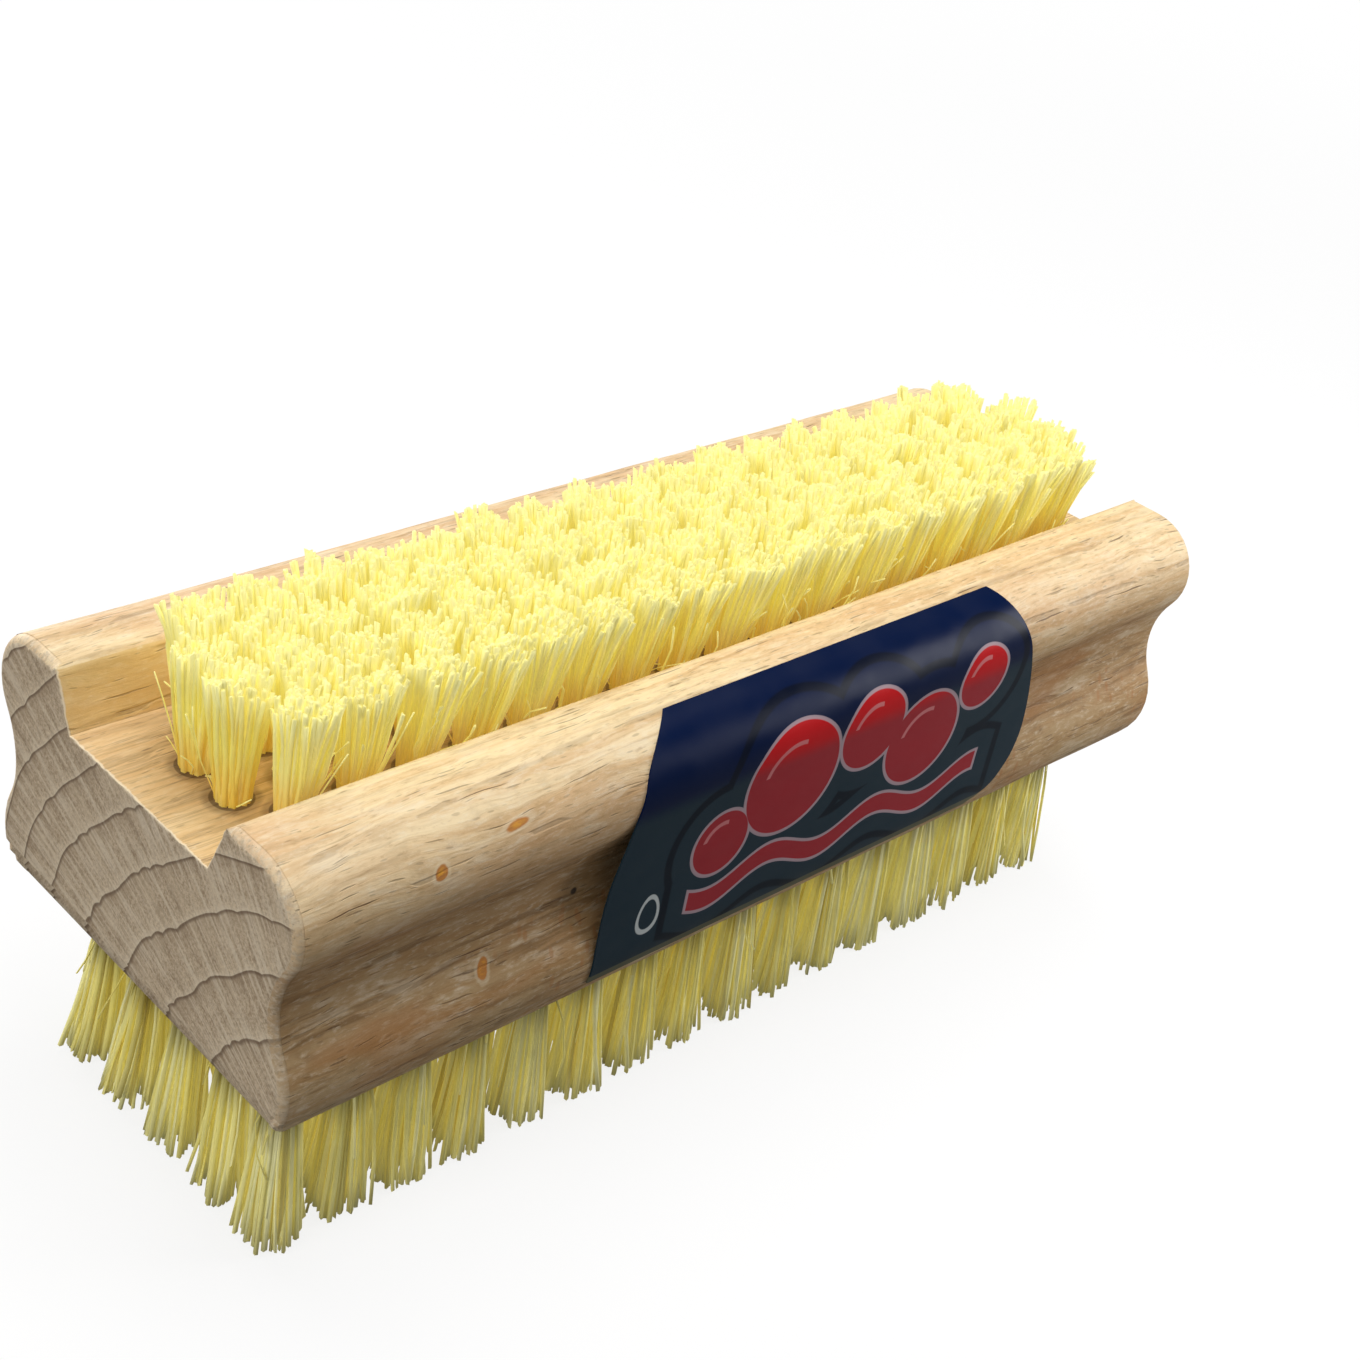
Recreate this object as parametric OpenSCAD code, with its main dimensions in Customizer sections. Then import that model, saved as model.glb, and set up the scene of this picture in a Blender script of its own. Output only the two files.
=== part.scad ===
// Two-sided wooden nail brush: a beech block with long bristles underneath
// and a short bristle field in the channel on top.
// X runs along the block, Z is up, and the brush stands on its long bristles.

/* [Block] */
// Length of the wooden block
block_length = 95; // [80:1:120]
// Width of the block over its two rails
block_width = 36.2; // [35:0.1:44]
// Height of the block from its underside to the top of the rails
block_height = 23.5; // [22.5:0.1:28]
// Rounding of each rail's outer top edge
rail_radius = 4.7; // [3.8:0.1:5.6]
// Rounding of each lower flange
flange_radius = 6; // [5:0.1:7]
// How far the lower flange stands inside the rail on each side
flange_inset = 0.2; // [0:0.1:1]
// Radius of the finger hollow along each side
waist_radius = 7; // [6:0.1:8.5]
// Rounding of the top corners at the two ends
end_top_radius = 1; // [0.5:0.1:2]
// Rounding of the bottom corners at the two ends
end_bottom_radius = 4.5; // [3:0.1:5]

/* [Channel] */
// Depth of the channel between the rails
channel_depth = 4.5; // [3.6:0.1:5.4]
// Width of the channel floor
channel_floor_width = 16.6; // [16:0.1:18]
// Lean of each channel wall from upright, in degrees
channel_wall_lean = 23; // [15:1:28]
// Rounding of each rail's inner edge
rail_edge_radius = 1; // [0.5:0.1:1.4]

/* [Bores] */
// Diameter of the drilled bore that holds a tuft
bore_diameter = 3.2; // [2.8:0.1:3.8]
// Depth of the bores under the channel floor
top_bore_depth = 6; // [5:0.1:7]
// Depth of the bores in the underside
bottom_bore_depth = 7.5; // [6:0.1:9]

/* [Short bristles on top] */
// Distance between the two middle rows
top_middle_pitch = 4.2; // [3.8:0.1:4.6]
// Distance from each outer row to the middle row beside it
top_outer_pitch = 3.3; // [3.2:0.1:3.6]
// Distance between neighbouring rows at their cut tips
top_tip_row_pitch = 4.4; // [4.2:0.1:4.8]
// How far the field lies off the middle of the block, towards the label
top_field_shift = 0.8; // [0:0.1:1]
// Wanted distance between neighbouring tufts of a row
top_tuft_spacing = 4.9; // [4.6:0.1:6]
// Distance from the end of the block to the first and last tuft of a middle row
top_end_margin = 5.4; // [5:0.1:8]
// Length of the bristles above the channel floor
top_bristle_length = 10; // [7:0.1:12]
// Gap between neighbouring tufts at their cut tips
top_tip_gap = 0.6; // [0.4:0.1:1]

/* [Long bristles underneath] */
// Distance between neighbouring rows
bottom_row_pitch = 5.4; // [5.2:0.1:5.8]
// Wanted distance between neighbouring tufts of a row
bottom_tuft_spacing = 5.6; // [5.2:0.1:6.4]
// Distance from the end of the block to the first and last tuft
bottom_end_margin = 5.4; // [5:0.1:8]
// Length of the bristles below the wood
bottom_bristle_length = 13.2; // [10:0.1:16]
// Gap between neighbouring tufts at their cut tips
bottom_tip_gap = 0.8; // [0.5:0.1:1.2]
// How far the cut tips lean towards one end of the block
bottom_lean = 1.2; // [0:0.1:2]

/* [Tufts] */
// Width of a tuft where it leaves the wood
tuft_base = 2.6; // [2.2:0.1:2.7]
// Width of the tuft's root inside its bore
root_width = 1.9; // [1.6:0.1:2]
// Thickness of the slice of the face that carries a row of tufts
slice_thickness = 0.8; // [0.6:0.1:1.2]
// Wood left between the slices of neighbouring rows
slice_gap = 0.5; // [0.4:0.1:0.6]
// How far the slice runs past the last tuft's axis
slice_end = 1.9; // [1.7:0.1:2.2]
// Gap between neighbouring strands at their tips
strand_gap = 0.25; // [0.15:0.05:0.4]
// Largest difference in height between the cut tips
tip_unevenness = 0.7; // [0:0.1:1]
// Depth by which the longest strands are cut flat
trim_depth = 0.5; // [0.3:0.1:0.6]

/* [Anchors] */
// Thickness of the flat wire that pins a tuft down in its bore
anchor_thickness = 0.4; // [0.3:0.05:0.6]
// Height of the flat wire, standing on edge
anchor_height = 1.6; // [1.2:0.1:2]
// How far each end of the wire bites into the wood beside the bore
anchor_bite = 0.35; // [0.2:0.05:0.5]
// Height of the wire's lower edge above the bottom of its bore
anchor_lift = 0.6; // [0.4:0.1:0.9]

/* [Label] */
// Thickness of the plastic label film
label_thickness = 0.15; // [0.1:0.05:0.3]
// Distance from the near end to the label's left edge along its top
label_top_start = 33; // [28:0.5:38]
// Length of the label along its top edge
label_top_length = 36; // [30:0.5:40]
// Distance from the near end to the label's left edge along its bottom
label_bottom_start = 26.5; // [22:0.5:32]
// Length of the label along its bottom edge
label_bottom_length = 47.5; // [36:0.5:50]
// Rounding of the label's lower right corner
label_corner_radius = 6; // [1:0.5:8]
// Share of the label's height over which its left edge runs straight up
label_edge_rise = 0.4; // [0.1:0.05:0.6]
// Share of the label's height at which its left edge turns over the rail
label_edge_turn = 0.85; // [0.7:0.05:0.95]
// Share of the left edge's whole lean that it has by then
label_edge_lean = 0.4; // [0.1:0.05:0.9]
// How far the label wraps over the rail, in degrees above level
label_top_wrap = 75; // [50:1:80]
// How far the label wraps under the lower flange, in degrees below level
label_bottom_wrap = 17; // [8:1:30]

/* [Hidden] */

// Overrun of every cut past the face that it opens
overrun = 1;
// Sides of the round shapes
round_fn = 96;
// Sides of a tuft's bore, few because its slice and root hide it
bore_fn = 6;
// Degrees between the points of the label's rounded corner
corner_step = 15;

// Heights in the standing brush
wood_z = bottom_bristle_length;
floor_height = block_height - channel_depth;
floor_z = wood_z + floor_height;

// Half section of the block, as distance from the middle and height above the underside
rail_c = [block_width / 2 - rail_radius, block_height - rail_radius];
flange_c = [block_width / 2 - flange_inset - flange_radius, flange_radius];
floor_c = [channel_floor_width / 2, floor_height];
edge_c = [
    floor_c.x + (block_height - rail_edge_radius - floor_c.y) * tan(channel_wall_lean)
        + rail_edge_radius / cos(channel_wall_lean),
    block_height - rail_edge_radius
];

// The finger hollow's arc touches both the rail's and the flange's rounding
side_span = norm(rail_c - flange_c);
side_dir = (rail_c - flange_c) / side_span;
side_out = [side_dir.y, -side_dir.x];
waist_along = ((flange_radius + waist_radius) ^ 2 - (rail_radius + waist_radius) ^ 2
    + side_span ^ 2) / (2 * side_span);
waist_out = sqrt((flange_radius + waist_radius) ^ 2 - waist_along ^ 2);
waist_c = flange_c + waist_along * side_dir + waist_out * side_out;
rail_touch = rail_c + rail_radius * (waist_c - rail_c) / norm(waist_c - rail_c);
flange_touch = flange_c + flange_radius * (waist_c - flange_c) / norm(waist_c - flange_c);

// Direction, in degrees above level, in which a film stretched over rail and flange faces
film_angle = atan2(side_dir.y, side_dir.x) - acos((flange_radius - rail_radius) / side_span);

// Rows of tufts underneath, and how far their tips lean outward as a share of the row's distance
// from the middle
bottom_rows = 5;
bottom_spread_share = 0.09;

// Places of the tufts: as many as fit best at the wanted spacing, spread evenly
top_span = block_length - 2 * top_end_margin;
bottom_span = block_length - 2 * bottom_end_margin;
top_steps = round(top_span / top_tuft_spacing);
bottom_steps = round(bottom_span / bottom_tuft_spacing);
top_pitch = top_span / top_steps;
bottom_pitch = bottom_span / bottom_steps;
top_middle_x = [for (i = [0 : top_steps]) i * top_pitch - top_span / 2];
bottom_x = [for (i = [0 : bottom_steps]) i * bottom_pitch - bottom_span / 2];
bottom_y = [for (row = [0 : bottom_rows - 1]) (row - (bottom_rows - 1) / 2) * bottom_row_pitch];

// The outer rows on top stand half a step off the middle ones, with one tuft less
top_outer_x = [for (i = [1 : top_steps]) (i - 1 / 2) * top_pitch - top_span / 2];
top_x = [top_outer_x, top_middle_x, top_middle_x, top_outer_x];
top_y = [
    for (y = [
        -top_middle_pitch / 2 - top_outer_pitch, -top_middle_pitch / 2,
        top_middle_pitch / 2, top_middle_pitch / 2 + top_outer_pitch
    ])
        y - top_field_shift
];
top_rows = len(top_y);

// How far each row's tips lean outward
top_spread = [
    for (row = [0 : top_rows - 1])
        (row - (top_rows - 1) / 2) * top_tip_row_pitch - top_field_shift - top_y[row]
];
bottom_spread = [for (y = bottom_y) y * bottom_spread_share];

// Size of a tuft at its cut tips, along and across its row
top_tip = [top_pitch - top_tip_gap, top_tip_row_pitch - top_tip_gap];
bottom_tip = [bottom_pitch - bottom_tip_gap, bottom_row_pitch - bottom_tip_gap];

// Width of the slice that carries a row
top_slice_width = top_outer_pitch - slice_gap;
bottom_slice_width = bottom_row_pitch - slice_gap;

// Strands of one tuft along and across its row
top_split = [2, 1];
bottom_split = [2, 2];
// Share of the unevenness that each strand takes in turn
uneven_shares = [0.2, 0.9, 0, 0.6, 1, 0.3, 0.75, 0.1, 0.5, 0.85, 0.05, 0.4, 0.95];

// Depth of a root's lower tip, where it meets the anchor's upper edge
top_root_depth = top_bore_depth - anchor_lift - anchor_height;
bottom_root_depth = bottom_bore_depth - anchor_lift - anchor_height;

// Rectangle with its own rounding at the top and bottom corners, standing on the X axis
module rounded_end_outline(length, height, top_r, bottom_r) {
    half = length / 2;
    polygon([
        [bottom_r - half, 0], [half - bottom_r, 0],
        [half, bottom_r], [half, height - top_r],
        [half - top_r, height], [top_r - half, height],
        [-half, height - top_r], [-half, bottom_r]
    ]);
    for (side = [-1, 1]) {
        translate([side * (half - bottom_r), bottom_r])
            circle(r = bottom_r, $fn = round_fn);
        translate([side * (half - top_r), height - top_r])
            circle(r = top_r, $fn = round_fn);
    }
}

// Cross section of the block, seen along its length
module block_section() {
    right = [
        [flange_c.x, 0],
        flange_touch,
        rail_touch,
        [rail_c.x, block_height],
        [edge_c.x, block_height],
        edge_c + rail_edge_radius * [-cos(channel_wall_lean), sin(channel_wall_lean)],
        floor_c
    ];
    left = [for (i = [len(right) - 1 : -1 : 0]) [-right[i].x, right[i].y]];
    difference() {
        union() {
            polygon(concat(right, left));
            for (side = [-1, 1]) {
                translate([side * rail_c.x, rail_c.y])
                    circle(r = rail_radius, $fn = round_fn);
                translate([side * flange_c.x, flange_c.y])
                    circle(r = flange_radius, $fn = round_fn);
                translate([side * edge_c.x, edge_c.y])
                    circle(r = rail_edge_radius, $fn = round_fn);
            }
        }
        for (side = [-1, 1])
            translate([side * waist_c.x, waist_c.y])
                circle(r = waist_radius, $fn = round_fn);
    }
}

// Shallow seat for the slice that carries a row, open towards the bristles
module slice_seat(x_list, y, face_z, up, width) {
    length = x_list[len(x_list) - 1] - x_list[0] + 2 * slice_end;
    low = up ? face_z - slice_thickness : face_z - overrun;
    translate([x_list[0] - slice_end, y - width / 2, low])
        cube([length, width, slice_thickness + overrun]);
}

// A row of blind bores, each with the slot that its anchor cuts
module bore_row(x_list, y, face_z, up, depth) {
    bore_low = up ? face_z - depth : face_z - overrun;
    anchor_low = up
        ? face_z - depth + anchor_lift
        : face_z + depth - anchor_lift - anchor_height;
    for (x = x_list) {
        translate([x, y, bore_low])
            rotate([0, 0, 90 - 180 / bore_fn])
                cylinder(d = bore_diameter, h = depth + overrun, $fn = bore_fn);
        translate([x, y, anchor_low])
            anchor_blank();
    }
}

// Flat wire anchor, standing on edge across a bore
module anchor_blank() {
    length = bore_diameter + 2 * anchor_bite;
    translate([-anchor_thickness / 2, -length / 2, 0])
        cube([anchor_thickness, length, anchor_height]);
}

module wooden_block() {
    color("burlywood")
    difference() {
        translate([0, 0, wood_z])
            intersection() {
                translate([-block_length / 2, 0, 0])
                    rotate([90, 0, 90])
                        linear_extrude(block_length)
                            block_section();
                rotate([90, 0, 0])
                    linear_extrude(block_width + 2 * overrun, center = true)
                        rounded_end_outline(
                            block_length, block_height, end_top_radius, end_bottom_radius
                        );
            }
        for (row = [0 : top_rows - 1]) {
            slice_seat(top_x[row], top_y[row], floor_z, true, top_slice_width);
            bore_row(top_x[row], top_y[row], floor_z, true, top_bore_depth);
        }
        for (y = bottom_y) {
            slice_seat(bottom_x, y, wood_z, false, bottom_slice_width);
            bore_row(bottom_x, y, wood_z, false, bottom_bore_depth);
        }
    }
}

module anchor_row(x_list, y, anchor_low) {
    color("silver")
    for (x = x_list)
        translate([x, y, anchor_low])
            anchor_blank();
}

module top_anchor_row(row) {
    anchor_row(top_x[row], top_y[row], floor_z - top_bore_depth + anchor_lift);
}

module bottom_anchor_row(row) {
    anchor_row(
        bottom_x, bottom_y[row], wood_z + bottom_bore_depth - anchor_lift - anchor_height
    );
}

// Outer side of the block with the finger hollow bridged over, grown by the given amount
module bridged_side(grow) {
    facing = [-cos(film_angle), sin(film_angle)];
    rail = [-rail_c.x, rail_c.y];
    flange = [-flange_c.x, flange_c.y];
    translate(rail)
        circle(r = rail_radius + grow, $fn = round_fn);
    translate(flange)
        circle(r = flange_radius + grow, $fn = round_fn);
    polygon([
        rail,
        rail + (rail_radius + grow) * facing,
        flange + (flange_radius + grow) * facing,
        flange
    ]);
}

// Section of the label: round the rail, straight over the finger hollow, round the flange
module film_section() {
    rail = [-rail_c.x, rail_c.y];
    flange = [-flange_c.x, flange_c.y];
    reach = 2 * flange_radius;
    intersection() {
        difference() {
            bridged_side(label_thickness);
            bridged_side(0);
        }
        polygon([
            rail,
            rail + reach * [-cos(label_top_wrap), sin(label_top_wrap)],
            rail + reach * [-1, 1],
            flange + reach * [-1, -tan(label_bottom_wrap)],
            flange
        ]);
    }
}

// Outline of the label as cut, seen from the side, with its long edges just past the film's
module label_outline() {
    low = flange_c.y - (flange_radius + label_thickness) * sin(label_bottom_wrap) - label_thickness;
    high = rail_c.y + (rail_radius + label_thickness) * sin(label_top_wrap) + label_thickness;
    corner = [
        label_bottom_start + label_bottom_length - label_corner_radius,
        low + label_corner_radius
    ];
    lean = label_edge_lean * (label_top_start - label_bottom_start);
    translate([-block_length / 2, 0])
        polygon(concat(
            [[label_bottom_start, low]],
            [
                for (a = [-90 : corner_step : corner_step])
                    corner + label_corner_radius * [cos(a), sin(a)]
            ],
            [
                [label_top_start + label_top_length, high],
                [label_top_start, high],
                [label_bottom_start + lean, low + label_edge_turn * (high - low)],
                [label_bottom_start, low + label_edge_rise * (high - low)]
            ]
        ));
}

module side_label() {
    color("midnightblue")
    translate([0, 0, wood_z])
        intersection() {
            translate([-block_length / 2, 0, 0])
                rotate([90, 0, 90])
                    linear_extrude(block_length)
                        film_section();
            rotate([90, 0, 0])
                linear_extrude(block_width)
                    label_outline();
        }
}

// Corners of a tuft's grid where it leaves the slice, row by row
function base_grid(x, split, width) = [
    for (k = [0 : split.y]) for (j = [0 : split.x])
        [x + width * (j / split.x - 1 / 2), width * (k / split.y - 1 / 2), 0]
];

// Four tip corners of strand j, k of a tuft
function tip_quad(x, spread, split, tip, length, lean, j, k, turn) =
    let (
        half_gap = strand_gap / 2,
        x_a = x - lean + tip.x * (j / split.x - 1 / 2) + half_gap,
        x_b = x - lean + tip.x * ((j + 1) / split.x - 1 / 2) - half_gap,
        y_a = spread + tip.y * (k / split.y - 1 / 2) + half_gap,
        y_b = spread + tip.y * ((k + 1) / split.y - 1 / 2) - half_gap,
        uneven = tip_unevenness * uneven_shares[turn % len(uneven_shares)],
        z = min(length, length + trim_depth - uneven)
    )
    [[x_a, y_a, z], [x_b, y_a, z], [x_b, y_b, z], [x_a, y_b, z]];

// Triangles between an edge a, b and a chain of points beside it
function fan(a, b, chain) =
    let (last = len(chain) - 1, middle = floor(last / 2))
    concat(
        [for (i = [0 : 1 : middle - 1]) [a, chain[i + 1], chain[i]]],
        [[a, b, chain[middle]]],
        [for (i = [middle : 1 : last - 1]) [b, chain[i + 1], chain[i]]]
    );

// Two triangles for a four-cornered face
function two(a, b, c, d) = [[a, b, c], [a, c, d]];

// One row: a slice of the face, a root below it and a few tapered strands above it per tuft
module bristle_row(x_list, spread, split, tip, length, lean, slice_width, root_depth, turn) {
    count = len(x_list);
    last = count - 1;
    strands = split.x * split.y;
    grid = (split.x + 1) * (split.y + 1);
    half = slice_width / 2;
    root = root_width / 2;
    walls = [
        for (i = [0 : count])
            i == 0 ? x_list[0] - slice_end
            : i == count ? x_list[last] + slice_end
            : (x_list[i - 1] + x_list[i]) / 2
    ];
    wall_points = [
        for (x = walls)
            each [[x, -half, 0], [x, half, 0], [x, -half, -slice_thickness], [x, half, -slice_thickness]]
    ];
    per_tuft = grid + 4 * strands + 5;
    tuft_points = [
        for (i = [0 : last]) each concat(
            base_grid(x_list[i], split, tuft_base),
            [
                for (k = [0 : split.y - 1]) for (j = [0 : split.x - 1])
                    each tip_quad(
                        x_list[i], spread, split, tip, length, lean, j, k,
                        turn + i * strands + k * split.x + j
                    )
            ],
            [
                for (corner = [[-root, -root], [root, -root], [root, root], [-root, root]])
                    [x_list[i] + corner.x, corner.y, -slice_thickness]
            ],
            [[x_list[i], 0, -root_depth]]
        )
    ];
    first_tuft = len(wall_points);
    faces = [
        for (i = [0 : last]) each
            let (
                w = 4 * i,
                n = w + 4,
                t = first_tuft + i * per_tuft,
                tips = t + grid,
                r = tips + 4 * strands,
                across = split.x + 1,
                low = [for (j = [0 : split.x]) t + j],
                high = [for (j = [split.x : -1 : 0]) t + split.y * across + j],
                left = [for (k = [split.y : -1 : 0]) t + k * across],
                right = [for (k = [0 : split.y]) t + k * across + split.x]
            )
            concat(
                fan(w, n, low),
                fan(n, n + 1, right),
                fan(n + 1, w + 1, high),
                fan(w + 1, w, left),
                [
                    for (k = [0 : split.y - 1]) for (j = [0 : split.x - 1]) each
                        let (
                            a = t + k * across + j,
                            b = a + 1,
                            c = b + across,
                            d = a + across,
                            q = tips + 4 * (k * split.x + j)
                        )
                        concat(
                            two(a, b, q + 1, q),
                            two(b, c, q + 2, q + 1),
                            two(c, d, q + 3, q + 2),
                            two(d, a, q, q + 3),
                            two(q, q + 1, q + 2, q + 3)
                        )
                ],
                two(w, w + 2, n + 2, n),
                two(w + 1, n + 1, n + 3, w + 3),
                two(w + 2, r, r + 1, n + 2),
                two(n + 2, r + 1, r + 2, n + 3),
                two(n + 3, r + 2, r + 3, w + 3),
                two(w + 3, r + 3, r, w + 2),
                [for (k = [0 : 3]) [r + k, r + 4, r + (k + 1) % 4]]
            ),
        each two(0, 1, 3, 2),
        each two(4 * count, 4 * count + 2, 4 * count + 3, 4 * count + 1)
    ];
    polyhedron(
        points = concat(wall_points, tuft_points),
        faces = [for (face = faces) [face[0], face[2], face[1]]],
        convexity = 10
    );
}

module top_bristle_row(row) {
    color("khaki")
    translate([0, top_y[row], floor_z])
        bristle_row(
            top_x[row], top_spread[row], top_split, top_tip, top_bristle_length, 0,
            top_slice_width, top_root_depth, row
        );
}

module bottom_bristle_row(row) {
    color("khaki")
    translate([0, bottom_y[row], wood_z])
        rotate([180, 0, 0])
            bristle_row(
                bottom_x, -bottom_spread[row], bottom_split, bottom_tip, bottom_bristle_length, bottom_lean,
                bottom_slice_width, bottom_root_depth, row
            );
}

wooden_block();
side_label();
top_bristle_row(0);  // top_bristle_row_1
top_bristle_row(1);  // top_bristle_row_2
top_bristle_row(2);  // top_bristle_row_3
top_bristle_row(3);  // top_bristle_row_4
bottom_bristle_row(0);  // bottom_bristle_row_1
bottom_bristle_row(1);  // bottom_bristle_row_2
bottom_bristle_row(2);  // bottom_bristle_row_3
bottom_bristle_row(3);  // bottom_bristle_row_4
bottom_bristle_row(4);  // bottom_bristle_row_5
top_anchor_row(0);  // top_anchor_row_1
top_anchor_row(1);  // top_anchor_row_2
top_anchor_row(2);  // top_anchor_row_3
top_anchor_row(3);  // top_anchor_row_4
bottom_anchor_row(0);  // bottom_anchor_row_1
bottom_anchor_row(1);  // bottom_anchor_row_2
bottom_anchor_row(2);  // bottom_anchor_row_3
bottom_anchor_row(3);  // bottom_anchor_row_4
bottom_anchor_row(4);  // bottom_anchor_row_5
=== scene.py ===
import math
import random

import bmesh
import bpy
from mathutils import Matrix, Vector, noise


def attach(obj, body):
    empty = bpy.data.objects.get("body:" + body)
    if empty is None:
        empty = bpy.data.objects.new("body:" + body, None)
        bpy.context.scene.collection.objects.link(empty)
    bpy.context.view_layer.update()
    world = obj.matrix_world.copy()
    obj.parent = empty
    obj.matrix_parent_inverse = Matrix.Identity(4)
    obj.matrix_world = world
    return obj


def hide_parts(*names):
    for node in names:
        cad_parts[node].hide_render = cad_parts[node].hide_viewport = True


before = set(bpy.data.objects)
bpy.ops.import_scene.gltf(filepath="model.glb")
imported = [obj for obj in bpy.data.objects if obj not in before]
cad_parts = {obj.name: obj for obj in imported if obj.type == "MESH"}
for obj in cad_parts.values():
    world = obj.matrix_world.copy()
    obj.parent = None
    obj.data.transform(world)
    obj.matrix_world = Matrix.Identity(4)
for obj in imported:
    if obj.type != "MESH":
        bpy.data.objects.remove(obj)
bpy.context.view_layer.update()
mm = 0.001
print("frame loaded:", len(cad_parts), "nodes")


# Shader nodes written as expressions

class Wire:
    def __init__(self, finish, socket):
        self.finish = finish
        self.socket = socket

    def maths(self, operation, other=None, swapped=False):
        pair = [self] if other is None else [self, other]
        if swapped:
            pair.reverse()
        return self.finish.add("ShaderNodeMath", {"operation": operation}, pair)

    def __add__(self, other):
        return self.maths("ADD", other)

    def __radd__(self, other):
        return self.maths("ADD", other, True)

    def __sub__(self, other):
        return self.maths("SUBTRACT", other)

    def __rsub__(self, other):
        return self.maths("SUBTRACT", other, True)

    def __mul__(self, other):
        return self.maths("MULTIPLY", other)

    def __truediv__(self, other):
        return self.maths("DIVIDE", other)

    def __gt__(self, other):
        return self.maths("GREATER_THAN", other)

    def __lt__(self, other):
        return self.maths("LESS_THAN", other)

    def __abs__(self):
        return self.maths("ABSOLUTE")

    def least(self, other):
        return self.maths("MINIMUM", other)

    def most(self, other):
        return self.maths("MAXIMUM", other)

    def ramped(self, low, high, start=0.0, end=1.0):
        return self.finish.add(
            "ShaderNodeMapRange", {"interpolation_type": "SMOOTHSTEP"},
            [self, low, high, start, end],
        )


def distance(across, down):
    return (across * across + down * down).maths("SQRT")


def tint(code):
    parts = [int(code[i:i + 2], 16) / 255 for i in (1, 3, 5)]
    return [c / 12.92 if c <= 0.04045 else ((c + 0.055) / 1.055) ** 2.4 for c in parts] + [1.0]


class Finish:
    def __init__(self, name):
        self.material = bpy.data.materials.new(name)
        self.material.use_nodes = True
        self.tree = self.material.node_tree
        self.shader = self.tree.nodes["Principled BSDF"]

    def add(self, kind, settings=None, values=(), output=0):
        node = self.tree.nodes.new(kind)
        for key, value in (settings or {}).items():
            setattr(node, key, value)
        pairs = values.items() if isinstance(values, dict) else enumerate(values)
        for key, value in pairs:
            self.feed(node.inputs[key], value)
        return Wire(self, node.outputs[output])

    def feed(self, socket, value):
        if isinstance(value, Wire):
            self.tree.links.new(value.socket, socket)
        else:
            socket.default_value = value

    def look(self, **values):
        for key, value in values.items():
            name = "".join(" " + c if c.isupper() else c for c in key).title()
            name = name.replace("Ior", "IOR")
            self.feed(self.shader.inputs[name], value)

    def place(self):
        # place on the piece in millimetres
        metres = self.add("ShaderNodeTexCoord", output=3)
        return self.add(
            "ShaderNodeVectorMath", {"operation": "SCALE"}, {0: metres, "Scale": 1 / mm}
        )

    def split(self, vector):
        return [self.add("ShaderNodeSeparateXYZ", values=[vector], output=i) for i in range(3)]

    def join(self, x, y, z):
        return self.add("ShaderNodeCombineXYZ", values=[x, y, z])

    def stretch(self, vector, scale):
        return self.add("ShaderNodeVectorMath", {"operation": "MULTIPLY"}, [vector, scale])

    def shift(self, vector, offset):
        return self.add("ShaderNodeVectorMath", {"operation": "ADD"}, [vector, offset])

    def cloud(self, vector, detail, roughness=0.5):
        return self.add("ShaderNodeTexNoise", values={
            "Vector": vector, "Scale": 1.0, "Detail": detail, "Roughness": roughness,
        })

    def clouds(self, vector, patterns):
        return [self.cloud(self.stretch(vector, scale), *rest) for scale, *rest in patterns]

    def cells(self, vector, output=0):
        return self.add(
            "ShaderNodeTexVoronoi", values={"Vector": vector, "Scale": 1.0}, output=output
        )

    def dashes(self, vector, scale, size, amount):
        cells = self.stretch(vector, scale)
        pick = self.split(self.cells(cells, 1))[0]
        return self.cells(cells).ramped(size, size * 0.55) * (pick > 1 - amount)

    def attribute(self, name):
        return self.add("ShaderNodeAttribute", {"attribute_name": name}, output=2)

    def mix(self, share, first, second):
        return self.add(
            "ShaderNodeMix", {"data_type": "RGBA"}, {0: share, 6: first, 7: second}, output=2
        )

    def coats(self, colour, *layers):
        # colours laid over each other, each as its share and its code
        for share, code in layers:
            colour = self.mix(share, colour, tint(code))
        return colour

    def relief(self, height, strength, depth):
        self.look(normal=self.add(
            "ShaderNodeBump", values={"Height": height, "Strength": strength, "Distance": depth}
        ))


def finishPiece(name, bm, material, nodes, crease):
    for face in bm.faces:
        face.smooth = True
    for edge in bm.edges:
        if len(edge.link_faces) == 2:
            edge.smooth = edge.calc_face_angle() < math.radians(crease)
    mesh = bpy.data.meshes.new(name)
    bm.to_mesh(mesh)
    bm.free()
    mesh.transform(Matrix.Scale(mm, 4))
    mesh.materials.append(material)
    piece = bpy.data.objects.new(name, mesh)
    bpy.context.scene.collection.objects.link(piece)
    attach(piece, "root")
    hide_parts(*nodes)
    return piece


# Places and sizes of the tufts

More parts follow.
